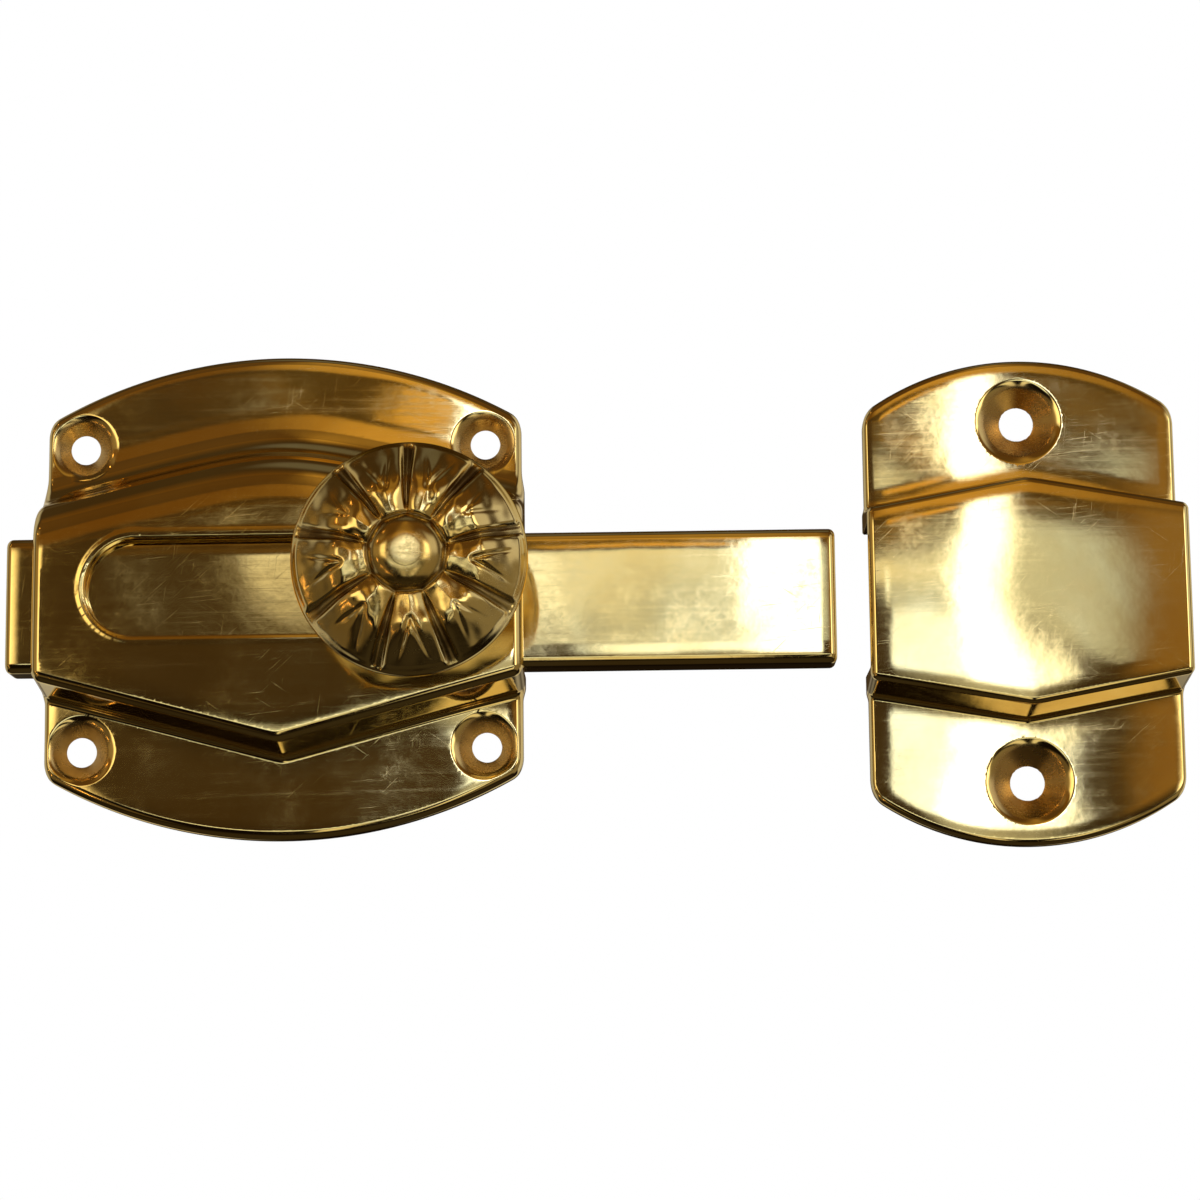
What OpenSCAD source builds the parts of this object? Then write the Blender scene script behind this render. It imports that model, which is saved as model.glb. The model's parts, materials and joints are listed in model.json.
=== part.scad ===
// Toggle bolt latch: a cast brass surface bolt with a round rosette knob, and its strike.
// It hangs on a vertical door: +X is the throw towards the strike, +Z is up, and -Y is out
// of the door. The origin is the middle of the case's four screw holes on the door face.

/* [Case] */
// Width of the case along the bolt
case_w = 69; // [66:1:76]
// Height of the case's flange between its two curved tips
case_h = 70; // [66:1:80]
// Height of the flange's straight sides
case_side_h = 51; // [48:1:56]
// Height of the raised body's foot at its two ends
body_end_h = 28.4; // [28:0.2:32]
// Height of the raised body's foot at its middle
body_mid_h = 47; // [45:0.5:50]
// Distance between the screw holes along the bolt
case_screw_x = 57.8; // [56:0.1:58]
// Distance between the screw holes up the door
case_screw_z = 44; // [43:0.5:46]
// Diameter of the case's screw holes
case_hole_d = 4.2; // [3.8:0.1:4.6]
// Diameter of the case's countersinks
case_sink_d = 9.2; // [8:0.1:9.6]

/* [Castings] */
// Thickness of both flanges
flange_t = 3; // [2.8:0.1:3.6]
// Radius of the flanges' corners
corner_r = 2; // [1:0.5:3]
// How far both raised bodies stand off the door
body_d = 12.4; // [12.4:0.1:13]
// How far the raised bodies' long sides lean in
lean = 1.5; // [1:0.1:2]
// Width of the small bevel along the raised bodies' crests
crest = 0.8; // [0.4:0.1:1.2]

/* [Bolt] */
// Length of the bolt
bolt_len = 117; // [114:1:118]
// Height of the bolt
bolt_w = 19.2; // [18:0.1:19.4]
// How far the middle of the bolt and the strike lies below the middle of the case
bolt_drop = 2.1; // [1.8:0.1:2.2]
// Thickness of the bolt
bolt_t = 7.5; // [7:0.1:7.5]
// Radius of the bolt's long edges
bolt_edge_r = 1; // [0.5:0.1:1.5]
// How far the bolt slides from one end of its slot to the other
travel = 40; // [38:1:40]
// Gap between the bolt and the walls of its tunnel
slide_gap = 0.1; // [0.05:0.01:0.1]
// Height of the slot that the knob runs in
slot_w = 14; // [13.5:0.1:14.5]

/* [Knob] */
// Diameter of the knob
knob_d = 32; // [30:1:34]
// Distance from the door to the knob's widest circle
knob_rim_z = 31.5; // [30:0.5:33]
// Rise of the knob's face above its widest circle, to the foot of the middle boss
face_rise = 4.6; // [4:0.1:5]
// Diameter of the boss in the middle of the rosette
boss_d = 10.4; // [9:0.1:12]
// Number of rays cut in the rosette
rays = 9; // [7:1:11]
// Diameter of the collar that guides the knob in the slot
collar_d = 13.4; // [13:0.1:13.4]
// Diameter of the knob's screw
knob_screw_d = 4; // [3:0.5:4]

/* [Back plate and spring] */
// Length of the plate that closes the tunnel
plate_len = 64; // [62:1:66]
// Height of the plate
plate_h = 30; // [29:0.5:31]
// Thickness of the plate
plate_t = 1; // [0.8:0.1:1.2]
// Distance between the plate's screws along the bolt
plate_screw_x = 40; // [38:1:42]
// Distance between the plate's screws up the door
plate_screw_z = 25.2; // [25:0.1:25.6]
// Thickness of the leaf spring
spring_t = 0.4; // [0.3:0.1:0.5]
// Height of the leaf spring's strip
spring_w = 10; // [8:0.5:12]
// Distance between the two places where the spring rubs on the bolt
spring_span = 52; // [50:1:54]

/* [Strike] */
// Width of the strike along the bolt
strike_w = 45; // [43:1:48]
// Height of the strike between its two curved tips
strike_h = 70; // [66:1:76]
// Height of the strike's straight sides
strike_side_h = 55; // [52:1:58]
// Height of the strike's raised body at its two ends
strike_end_h = 26.4; // [26:0.2:28]
// Height of the strike's raised body at its middle
strike_mid_h = 34.6; // [33:0.2:36]
// Gap between the thrown bolt and the strike, as the two are laid out
strike_gap = 4.5; // [3:0.5:6]
// Depth of the pocket that takes the bolt
pocket_len = 40.5; // [40:0.5:41]
// Distance between the strike's two screw holes
strike_screw_z = 52; // [50:1:53]
// Diameter of the strike's screw holes
strike_hole_d = 4.8; // [4.4:0.1:5]
// Diameter of the strike's countersinks
strike_sink_d = 11.5; // [10:0.1:12]

/* [Hidden] */
$fn = 96;
eps = 0.01;

BRASS = [0.72, 0.56, 0.24];
DARK_BRASS = [0.55, 0.42, 0.18];
SHEET_BRASS = [0.80, 0.68, 0.36];
STEEL = [0.62, 0.63, 0.65];

// Heights off the door, in the order that the pieces lie on each other
spring_room = 1.4;
bolt_back = plate_t + spring_room;
bolt_front = bolt_back + bolt_t;
tunnel_top = bolt_front + slide_gap;
tunnel_w = bolt_w + 2 * slide_gap;
collar_top = body_d + 1.5;

// Places along the bolt
knob_x = travel / 2;
bolt_x = knob_x - bolt_len / 2;
slot_reach = knob_x + slot_w / 2;
strike_x = bolt_x + bolt_len + strike_gap + strike_w / 2;

// Fits and fasteners
screw_gap = 0.05;
washer_t = 0.8;
head_t = 2;
head_d = 7;
head_sunk = 0.4;
bore_d = knob_screw_d + 0.3;
counterbore_d = 8.4;
counterbore_top = bolt_back + head_sunk + head_t + washer_t;
screw_top = collar_top + 9;
small_screw_d = 2.5;
small_head_d = 4.4;
small_head_t = 0.9;
small_screw_len = 6;
rivet_d = 2;
rivet_head_d = 3.6;
rivet_head_t = 0.5;
rivet_pitch = 6;

// Turns a part that is drawn lying on its back so that it stands against the door
module on_door() rotate([90, 0, 0]) children();

// Moves a part that is centred on the bolt down to where the bolt lies
module on_bolt_axis() translate([0, -bolt_drop, 0]) children();

// Copies a part to the four corners of a rectangle
module at_corners(x, y) {
    for (sx = [-1, 1], sy = [-1, 1])
        translate([sx * x / 2, sy * y / 2, 0]) children();
}

// A plate with straight sides, curved top and bottom edges and rounded corners
module flange_outline(w, h, side_h) {
    sag = (h - side_h) / 2;
    arc_r = (w * w / 4 + sag * sag) / (2 * sag);
    arc_y = h / 2 - arc_r;
    round_x = w / 2 - corner_r;
    round_y = arc_y + sqrt(pow(arc_r - corner_r, 2) - round_x * round_x);
    slant = [round_x, round_y - arc_y] / (arc_r - corner_r);
    reach = 3 * corner_r;
    difference() {
        intersection() {
            square([w, h], center = true);
            translate([0, arc_y]) circle(r = arc_r, $fn = 360);
            translate([0, -arc_y]) circle(r = arc_r, $fn = 360);
        }
        for (sx = [0, 1], sy = [0, 1])
            mirror([sx, 0]) mirror([0, sy]) translate([round_x, round_y]) difference() {
                polygon([[0, 0], [reach, 0], reach * ([1, 0] + slant), reach * slant]);
                circle(r = corner_r, $fn = 48);
            }
    }
}

// A long hexagon with upright ends, which is a raised body's outline, drawn in by an amount
module hexagon(w, end_h, mid_h, inset = 0) {
    x = w / 2;
    y_end = end_h / 2 - inset;
    y_mid = mid_h / 2 - inset;
    polygon([[-x, -y_end], [0, -y_mid], [x, -y_end], [x, y_end], [0, y_mid], [-x, y_end]]);
}

// A raised body with leaning long sides and bevelled crests
module raised_body(w, end_h, mid_h) {
    hull() {
        linear_extrude(flange_t) hexagon(w, end_h, mid_h);
        linear_extrude(body_d - crest) hexagon(w, end_h, mid_h, lean);
        linear_extrude(body_d) hexagon(w - 2 * crest, end_h, mid_h, lean + crest);
    }
}

// A screw hole with its countersink, cut down from the flange's outer face
module sunk_hole(hole_d, sink_d) {
    sink_depth = min((sink_d - hole_d) / 2, flange_t - 0.4);
    translate([0, 0, -eps]) cylinder(d = hole_d, h = flange_t + 2 * eps);
    translate([0, 0, flange_t - sink_depth]) cylinder(d1 = hole_d, d2 = sink_d, h = sink_depth);
    translate([0, 0, flange_t]) cylinder(d = sink_d, h = body_d);
}

// A bar's cross-section with rounded corners
module rounded_rectangle(w, h, r) {
    square([w - 2 * r, h], center = true);
    square([w, h - 2 * r], center = true);
    for (sx = [-1, 1], sy = [-1, 1])
        translate([sx * (w / 2 - r), sy * (h / 2 - r)]) circle(r = r, $fn = 48);
}

// The obround outline of the knob's slot
module slot_outline() {
    square([2 * knob_x, slot_w], center = true);
    for (sx = [-1, 1]) translate([sx * knob_x, 0]) circle(d = slot_w);
}

// Hollow in the casting above (side 1) or below (side -1) the tunnel, to keep its walls even
module casting_hollow(side) {
    rail = tunnel_w / 2 - side * bolt_drop + 2;
    foot = 14;
    tip = body_mid_h / 2 - lean - 3;
    translate([0, 0, -eps]) linear_extrude(body_d - 2.5)
        polygon([[-foot, side * rail], [foot, side * rail], [0, side * tip]]);
}

module case() {
    color(BRASS) on_door() difference() {
        union() {
            linear_extrude(flange_t) flange_outline(case_w, case_h, case_side_h);
            raised_body(case_w, body_end_h, body_mid_h);
        }
        // tunnel for the bolt, open at both ends
        on_bolt_axis() translate([-case_w / 2 - 1, -tunnel_w / 2, -eps])
            cube([case_w + 2, tunnel_w, tunnel_top]);
        // slot for the knob
        translate([0, 0, tunnel_top - 1]) linear_extrude(body_d) slot_outline();
        for (side = [-1, 1]) casting_hollow(side);
        // seat for the back plate, with its screw holes
        on_bolt_axis() {
            translate([0, 0, -eps]) linear_extrude(plate_t + eps)
                rounded_rectangle(plate_len + 0.2, plate_h + 0.2, 2);
            at_corners(plate_screw_x, plate_screw_z)
                cylinder(d = small_screw_d + 2 * screw_gap, h = small_screw_len + 0.5);
        }
        at_corners(case_screw_x, case_screw_z) sunk_hole(case_hole_d, case_sink_d);
    }
}

module back_plate() {
    color(SHEET_BRASS) on_door() on_bolt_axis() difference() {
        linear_extrude(plate_t) rounded_rectangle(plate_len, plate_h, 2);
        at_corners(plate_screw_x, plate_screw_z) {
            translate([0, 0, -eps]) cylinder(d = small_screw_d + 0.2, h = plate_t + 2 * eps);
            translate([0, 0, -eps])
                cylinder(d1 = small_head_d + 0.2, d2 = small_screw_d + 0.2, h = small_head_t + 0.05);
        }
        for (sx = [-1, 1]) translate([sx * rivet_pitch / 2, 0, -eps])
            cylinder(d = rivet_d + 2 * screw_gap, h = plate_t + 2 * eps);
    }
}

module back_plate_screws() {
    slot_depth = 0.5;
    color(STEEL) on_door() on_bolt_axis() at_corners(plate_screw_x, plate_screw_z) difference() {
        union() {
            cylinder(d1 = small_head_d, d2 = small_screw_d, h = small_head_t);
            cylinder(d = small_screw_d, h = small_screw_len);
        }
        translate([-small_head_d / 2, -0.3, -eps]) cube([small_head_d, 0.6, slot_depth]);
    }
}

// Height of the spring's lower face above the back plate: flat in the middle, then a smooth
// wave that crests where the spring rubs on the bolt and turns down again at the tips
function spring_lift(x) =
    let (flat = rivet_pitch, run = spring_span / 2 - flat, rise = spring_room - spring_t - 0.05)
    abs(x) < flat ? 0 : rise * (1 - cos(180 * (abs(x) - flat) / run)) / 2;

module bolt_spring() {
    tip = spring_span / 2 + 3;
    steps = [for (i = [-29:29]) i * tip / 29];
    profile = concat(
        [for (x = steps) [x, spring_lift(x)]],
        [for (i = [len(steps) - 1:-1:0]) [steps[i], spring_lift(steps[i]) + spring_t]]
    );
    color(STEEL) on_door() on_bolt_axis() translate([0, 0, plate_t]) difference() {
        translate([0, spring_w / 2, 0]) rotate([90, 0, 0]) linear_extrude(spring_w) polygon(profile);
        for (sx = [-1, 1]) translate([sx * rivet_pitch / 2, 0, -eps])
            cylinder(d = rivet_d + 2 * screw_gap, h = spring_t + 2 * eps);
    }
}

module spring_rivets() {
    color(SHEET_BRASS) on_door() on_bolt_axis() for (sx = [-1, 1]) translate([sx * rivet_pitch / 2, 0, 0]) {
        cylinder(d = rivet_d, h = plate_t + spring_t + rivet_head_t);
        translate([0, 0, plate_t + spring_t]) cylinder(d = rivet_head_d, h = rivet_head_t);
    }
}

module bolt() {
    color(BRASS) on_door() difference() {
        translate([bolt_x, -bolt_drop, (bolt_back + bolt_front) / 2]) rotate([90, 0, 90])
            linear_extrude(bolt_len) rounded_rectangle(bolt_w, bolt_t, bolt_edge_r);
        translate([knob_x, 0, bolt_back - eps]) {
            cylinder(d = bore_d, h = bolt_t + 2 * eps);
            cylinder(d = counterbore_d, h = counterbore_top - bolt_back + eps);
        }
    }
}

module knob_collar() {
    color(BRASS) on_door() translate([knob_x, 0, bolt_front]) difference() {
        cylinder(d = collar_d, h = collar_top - bolt_front);
        translate([0, 0, -eps]) cylinder(d = bore_d, h = collar_top);
    }
}

// The knob's turned outline, from the foot of its neck to the boss on its face
module knob_profile() {
    rim_r = knob_d / 2;
    rim_t = 1.6;
    cap_r = (pow(rim_r - 0.6, 2) + face_rise * face_rise) / (2 * face_rise);
    face_z = knob_rim_z + 0.6 + face_rise;
    boss_r = boss_d / 2;
    boss_rise = 1.6;
    boss_sink = 0.8;
    boss_cap_r = (boss_r * boss_r + pow(boss_rise + boss_sink, 2)) / (2 * (boss_rise + boss_sink));
    // neck and the saucer under the head
    polygon([
        [0, collar_top], [6.2, collar_top], [6.2, collar_top + 1.2], [4.6, collar_top + 4],
        [4.6, collar_top + 7.5], [8, knob_rim_z - 5.5], [13.2, knob_rim_z - 3.4],
        [rim_r - 0.4, knob_rim_z - rim_t], [rim_r, knob_rim_z - rim_t / 2],
        [rim_r, knob_rim_z + 0.2], [rim_r - 0.6, knob_rim_z + 0.6], [0, knob_rim_z + 0.6],
    ]);
    // domed face
    intersection() {
        translate([0, face_z - cap_r]) circle(r = cap_r, $fn = 240);
        translate([0, knob_rim_z]) square([rim_r - 0.6, face_rise + 1]);
    }
    // boss
    intersection() {
        translate([0, face_z + boss_rise - boss_cap_r]) circle(r = boss_cap_r, $fn = 120);
        translate([0, knob_rim_z]) square([boss_r, face_z + boss_rise - knob_rim_z]);
    }
}

module knob() {
    ray_r = 0.7;
    ray_in = boss_d / 2 + 0.6;
    ray_slope = 16;
    color(DARK_BRASS) on_door() translate([knob_x, 0, 0]) difference() {
        rotate_extrude($fn = 144) knob_profile();
        translate([0, 0, collar_top - eps])
            cylinder(d = knob_screw_d + 2 * screw_gap, h = screw_top + 0.5 - collar_top);
        for (i = [0:rays - 1]) rotate(90 + i * 360 / rays)
            translate([ray_in, 0, knob_rim_z + face_rise]) rotate([0, 90 + ray_slope, 0])
                cylinder(r = ray_r, h = knob_d, $fn = 24);
    }
}

module knob_screw() {
    head_z = bolt_back + head_sunk;
    color(STEEL) on_door() translate([knob_x, 0, head_z]) difference() {
        union() {
            cylinder(d = head_d, h = head_t);
            cylinder(d = knob_screw_d, h = screw_top - head_z);
        }
        translate([-head_d / 2 - 1, -0.6, -eps]) cube([head_d + 2, 1.2, 0.9]);
    }
}

module knob_lock_washer() {
    color(STEEL) on_door() translate([knob_x, 0, counterbore_top - washer_t]) difference() {
        cylinder(d = head_d + 0.6, h = washer_t);
        translate([0, 0, -eps]) cylinder(d = bore_d, h = washer_t + 2 * eps);
        // the split of the ring
        translate([0, -0.4, -eps]) cube([head_d, 0.8, washer_t + 2 * eps]);
    }
}

module strike() {
    pocket_w = bolt_w + 1.2;
    pocket_top = bolt_front + 0.5;
    color(BRASS) on_door() on_bolt_axis() translate([strike_x, 0, 0]) difference() {
        union() {
            linear_extrude(flange_t) flange_outline(strike_w, strike_h, strike_side_h);
            raised_body(strike_w, strike_end_h, strike_mid_h);
        }
        translate([-strike_w / 2 - eps, -pocket_w / 2, -eps])
            cube([pocket_len, pocket_w, pocket_top + eps]);
        for (sy = [-1, 1]) translate([0, sy * strike_screw_z / 2, 0])
            sunk_hole(strike_hole_d, strike_sink_d);
    }
}

case();
back_plate();
back_plate_screws();
bolt_spring();
spring_rivets();
bolt();
knob_collar();
knob();
knob_screw();
knob_lock_washer();
strike();
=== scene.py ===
"""Looks of the toggle bolt latch: polished cast brass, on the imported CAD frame."""

import json
import math

import bpy
import numpy as np
from mathutils import Matrix, Vector


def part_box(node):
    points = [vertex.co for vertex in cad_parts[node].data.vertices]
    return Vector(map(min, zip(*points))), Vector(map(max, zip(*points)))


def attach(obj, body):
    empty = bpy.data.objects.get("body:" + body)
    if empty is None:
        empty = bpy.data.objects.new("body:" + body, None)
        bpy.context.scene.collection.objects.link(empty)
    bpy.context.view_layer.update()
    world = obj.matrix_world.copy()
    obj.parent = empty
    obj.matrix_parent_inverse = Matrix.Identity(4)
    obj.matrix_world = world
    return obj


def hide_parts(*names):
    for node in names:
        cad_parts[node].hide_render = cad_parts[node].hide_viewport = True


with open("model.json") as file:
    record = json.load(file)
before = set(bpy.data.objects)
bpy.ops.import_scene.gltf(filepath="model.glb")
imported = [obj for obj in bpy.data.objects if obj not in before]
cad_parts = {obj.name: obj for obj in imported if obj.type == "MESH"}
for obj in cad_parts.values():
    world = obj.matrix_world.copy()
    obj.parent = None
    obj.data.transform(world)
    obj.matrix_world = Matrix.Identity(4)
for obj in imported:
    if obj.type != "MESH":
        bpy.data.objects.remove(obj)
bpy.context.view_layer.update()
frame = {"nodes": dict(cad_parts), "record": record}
MM = 0.001

# Sizes in millimetres, on a latch that lies on its back: x along the throw, y up the door and
# z out of the door. Where a piece lies is read from the frame.
MOUNTS = {m["name"]: m for m in frame["record"]["mounts"]}


def lying_box(node):
    """Lowest and highest corner of a CAD node, in millimetres, with the latch on its back."""
    low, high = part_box(node)
    return (
        np.array([low.x, low.z, -high.y]) / MM,
        np.array([high.x, high.z, -low.y]) / MM,
    )


CASE_LOW, CASE_HIGH = lying_box("case")
BOLT_LOW, BOLT_HIGH = lying_box("bolt")
COLLAR_LOW, COLLAR_HIGH = lying_box("knob_collar")
KNOB_LOW, KNOB_HIGH = lying_box("knob")
STRIKE_LOW, STRIKE_HIGH = lying_box("strike")
PLATE_LOW, PLATE_HIGH = lying_box("back_plate")

FLANGE_T = 3.0
CORNER_R = 2.0
LEAN = 1.5
CASE_SIDE_H = 51.0
CASE_END_H = 28.4
CASE_MID_H = 47.0
STRIKE_SIDE_H = 55.0
STRIKE_END_H = 26.4
STRIKE_MID_H = 34.6
BODY_D = CASE_HIGH[2]
SLOT_W = 14.0
SLIDE_GAP = 0.1
POCKET_LEN = 40.5
POCKET_GAP = 0.6
CASE_SINK_R = 4.6
STRIKE_SINK_R = 5.75
PLATE_SCREWS = (20.0, 12.6)
PLATE_SCREW_R = 1.3
BORE_R = 2.15
SCREW_HEAD_R = 4.2
SCREW_HEAD_DEPTH = 3.2
# The two hollows in the case's back: half their width at the tunnel's rails, how far their tips
# stay inside the body, how much more of that the upper one has and the lower one lacks, and how
# much casting is left over them
HOLLOW_FOOT = 14.0
HOLLOW_WALL = 5.2
HOLLOW_SHIFT = 2.2
HOLLOW_ROOF = 2.5
RAIL_T = 2
KNOB_X = (KNOB_LOW[0] + KNOB_HIGH[0]) / 2
BOLT_Y = (BOLT_LOW[1] + BOLT_HIGH[1]) / 2
TUNNEL_TOP = BOLT_HIGH[2] + SLIDE_GAP
TUNNEL_W = BOLT_HIGH[1] - BOLT_LOW[1] + 2 * SLIDE_GAP

# The castings' nets: the grid's pitch, and how far a triangle's edge may turn in each pass
# before it is split, in degrees
PITCH = 0.5
REFINE_BENDS = (2.5, 3.5, 6.0)


# ---------------------------------------------------------------- solid shapes as distance fields


def round_max(a, b, r):
    """Where both fields are inside, with the edge between them rounded to radius r."""
    return np.minimum(np.maximum(a, b), -r) + np.hypot(np.maximum(a + r, 0), np.maximum(b + r, 0))


def round_min(a, b, r):
    """Where either field is inside, with a fillet of radius r between them."""
    return -round_max(-a, -b, r)


def smooth_step(t):
    """0 below 0, 1 above 1 and an even curve between."""
    t = np.clip(t, 0, 1)
    return t * t * (3 - 2 * t)


def ripple(x, y, seed, height=0.05):
    """The slow, uneven waves that hand polishing leaves on a casting, in millimetres."""
    rng = np.random.default_rng(seed)
    total = 0
    for wave in (61, 43, 31, 24, 17):
        angle = rng.uniform(0, math.tau)
        phase = rng.uniform(0, math.tau)
        along = x * math.cos(angle) + y * math.sin(angle)
        total = total + np.sin(along * math.tau / wave + phase) * height * wave / 61
    return total


def outline(x, y, w, h, side_h):
    """A plate's outline: straight sides, curved top and bottom, rounded corners."""
    sag = (h - side_h) / 2
    arc_r = (w * w / 4 + sag * sag) / (2 * sag)
    arcs = np.hypot(x, np.abs(y) + arc_r - h / 2) - arc_r
    return round_max(np.abs(x) - w / 2, arcs, CORNER_R)


def casting(x, y, z, size, side_h, body, crown, roll, tilt, dip, edge_r, seed):
    """A door plate with its raised body: leaning sides, soft crests and slightly crowned faces.

    size is the plate's width and height. body holds the raised body's end height, middle height,
    lean, crest radius, fillet radius and how blunt its middle peak is. crown is the fall of its
    face along x and along y. roll is how far the face rolls off at its crest, and over what width.
    tilt is how much higher the face's right end stands than its middle. dip is how far the plate's
    face and the body's face lie below flat. edge_r rounds the plate's edges, and seed picks the
    waves.
    """
    w, h = size
    end_h, mid_h, lean, crest_r, fillet_r, blunt = body
    waves = ripple(x, y, seed)
    run, rise = w / 2, (mid_h - end_h) / 2
    middle = np.sqrt(x * x + 0.3 + blunt * blunt)
    side = (rise * middle + run * (np.abs(y) - mid_h / 2)) / math.hypot(run, rise)
    rate = lean / (BODY_D - FLANGE_T)
    side = (side + rate * (z - FLANGE_T)) / np.sqrt(1 + rate * rate)
    bow = crown[0] * (x / run) ** 2 - tilt * x / run + waves
    edge = outline(x, y, w, h, side_h)
    skirt = 0.8 * roll[0] * np.clip(1 - side / roll[1], 0, 1) ** 2
    plate_fall = bow + dip[0] - skirt + 0.12 * np.clip(1 + edge / 2.5, 0, 1) ** 2
    plate = round_max(edge, z - FLANGE_T + 0.1 + plate_fall, edge_r)
    fall = bow + dip[1] + crown[1] * (2 * y / mid_h) ** 2
    fall = fall + roll[0] * np.clip(1 + side / roll[1], 0, 1.5) ** 2
    solid = round_min(plate, round_max(side, z - BODY_D + 0.06 + fall, crest_r), fillet_r)
    solid = round_max(solid, np.abs(x) - w / 2, edge_r)
    return round_max(solid, -z, 0.25)


def sunk_hole(x, y, z, hole_r, sink_r):
    """A screw hole and its countersink, both about the z axis."""
    depth = min(sink_r - hole_r, FLANGE_T - 0.4)
    steep = (sink_r - hole_r) / depth
    wall = hole_r + np.clip((z - FLANGE_T + depth) * steep, 0, sink_r - hole_r)
    return (np.hypot(x, y) - wall) * 0.75


def case_field(x, y, z):
    """The case, whose upper long side is softer than its lower one, as in the photo."""
    w = CASE_HIGH[0] - CASE_LOW[0]
    h = CASE_HIGH[1] - CASE_LOW[1]
    upper = smooth_step(y / 16 + 0.5)
    slot = np.hypot(np.maximum(np.abs(x) - KNOB_X, 0), y) - SLOT_W / 2
    lip = 0.05 * np.exp(-(((slot - 0.7) / 0.4) ** 2))
    lean, crest_r, fillet_r = LEAN + 1.6 * upper, 1.2 + 2.2 * upper, 0.8 + 2.2 * upper
    body = (CASE_END_H, CASE_MID_H, lean, crest_r, fillet_r, 9 * upper)
    roll = (0.2 + 0.45 * upper, 4.0 + 2.0 * upper)
    start = 20.5 - 4.5 * upper
    dip = 0.031 * (4.5 * np.clip((x - start) / 9, 0, 1) ** 2 + np.maximum(x - start - 9, 0))
    solid = casting(
        x, y, z - lip, (w, h), CASE_SIDE_H, body,
        crown=(0.35, 0.3), roll=roll, tilt=0.0, dip=(dip, 0), edge_r=1.3, seed=11,
    )
    solid = round_max(solid, -slot, 0.22)
    tunnel = np.maximum(np.abs(y - BOLT_Y) - TUNNEL_W / 2, z - TUNNEL_TOP)
    solid = round_max(solid, -tunnel, 0.3)
    spacing = MOUNTS["case_screws"]["dims"]
    hole = sunk_hole(
        np.abs(x) - spacing["spacing_x_mm"] / 2,
        np.abs(y) - spacing["spacing_y_mm"] / 2,
        z, spacing["hole_r_mm"], CASE_SINK_R,
    )
    solid = round_max(solid, -hole, 0.6)
    half_w = (PLATE_HIGH[0] - PLATE_LOW[0]) / 2
    half_h = (PLATE_HIGH[1] - PLATE_LOW[1]) / 2
    seat = round_max(np.abs(x) - half_w - 0.1, np.abs(y - BOLT_Y) - half_h - 0.1, 2)
    solid = round_max(solid, -np.maximum(seat, z - PLATE_HIGH[2]), 0.15)
    for up in (1, -1):
        tip = CASE_MID_H / 2 - LEAN - HOLLOW_WALL - HOLLOW_SHIFT * up
        rail = TUNNEL_W / 2 + up * BOLT_Y + RAIL_T
        slant = math.hypot(HOLLOW_FOOT, tip - rail)
        slope = ((tip - rail) * np.abs(x) + HOLLOW_FOOT * (up * y - tip)) / slant
        hollow = round_max(round_max(slope, rail - up * y, 1), z - BODY_D + HOLLOW_ROOF, 1)
        solid = round_max(solid, -hollow, 0.4)
    bore = np.hypot(np.abs(x) - PLATE_SCREWS[0], np.abs(y - BOLT_Y) - PLATE_SCREWS[1])
    return np.maximum(solid, -np.maximum(bore - PLATE_SCREW_R, z - 6.5))


def strike_field(x, y, z):
    """The strike, open at its left end for the bolt."""
    x = x - (STRIKE_LOW[0] + STRIKE_HIGH[0]) / 2
    y = y - (STRIKE_LOW[1] + STRIKE_HIGH[1]) / 2
    w = STRIKE_HIGH[0] - STRIKE_LOW[0]
    h = STRIKE_HIGH[1] - STRIKE_LOW[1]
    body = (STRIKE_END_H, STRIKE_MID_H, LEAN - 0.3, 0.8, 0.6, 0)
    dip = 0.1 * np.clip((-19 - x) / 3.5, 0, 1.2) ** 2
    solid = casting(
        x, y, z, (w, h), STRIKE_SIDE_H, body,
        crown=(0.24, 0.1), roll=(0.12, 3.0), tilt=0.39, dip=(dip, dip), edge_r=0.9, seed=37,
    )
    pocket_w = BOLT_HIGH[1] - BOLT_LOW[1] + 2 * POCKET_GAP
    pocket = round_max(np.abs(y) - pocket_w / 2, z - BOLT_HIGH[2] - 0.5, 0.5)
    pocket = round_max(pocket, x + w / 2 - POCKET_LEN, 0.5)
    solid = round_max(solid, -pocket, 0.35)
    spacing = MOUNTS["strike_screws"]["dims"]
    hole_y = np.abs(y) - spacing["spacing_y_mm"] / 2
    hole = sunk_hole(x, hole_y, z, spacing["hole_r_mm"], STRIKE_SINK_R)
    return round_max(solid, -hole, 0.55)


def bolt_field(x, y, z):
    """The bar, with soft corners and the knob screw's hole and counterbore."""
    low, high = BOLT_LOW, BOLT_HIGH
    middle = (low + high) / 2
    half = (high - low) / 2
    wide = np.abs(y - middle[1]) - half[1]
    long = np.abs(x - middle[0]) - half[0]
    fall = 0.04 * ((x - middle[0]) / half[0]) ** 2 + ripple(x, y, 59, 0.03)
    fall = fall + 0.14 * np.clip(1 + wide / 3.2, 0, 1) ** 2
    fall = fall + 0.1 * np.clip(1 + long / 2.5, 0, 1) ** 2
    deep = np.abs(z - middle[2]) - half[2] + fall
    solid = round_max(round_max(wide, deep, 1.3), long, 0.9)
    radius = np.hypot(x - KNOB_X, y)
    solid = round_max(solid, BORE_R - radius, 0.2)
    head = np.maximum(radius - SCREW_HEAD_R, z - low[2] - SCREW_HEAD_DEPTH)
    return round_max(solid, -head, 0.2)


def gradient(field, points):
    """The field's slope at each point."""
    reach = 0.01
    slopes = []
    for axis in range(3):
        ahead, behind = points.copy(), points.copy()
        ahead[:, axis] += reach
        behind[:, axis] -= reach
        slopes.append((field(*ahead.T) - field(*behind.T)) / (2 * reach))
    return np.stack(slopes, 1)


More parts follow.
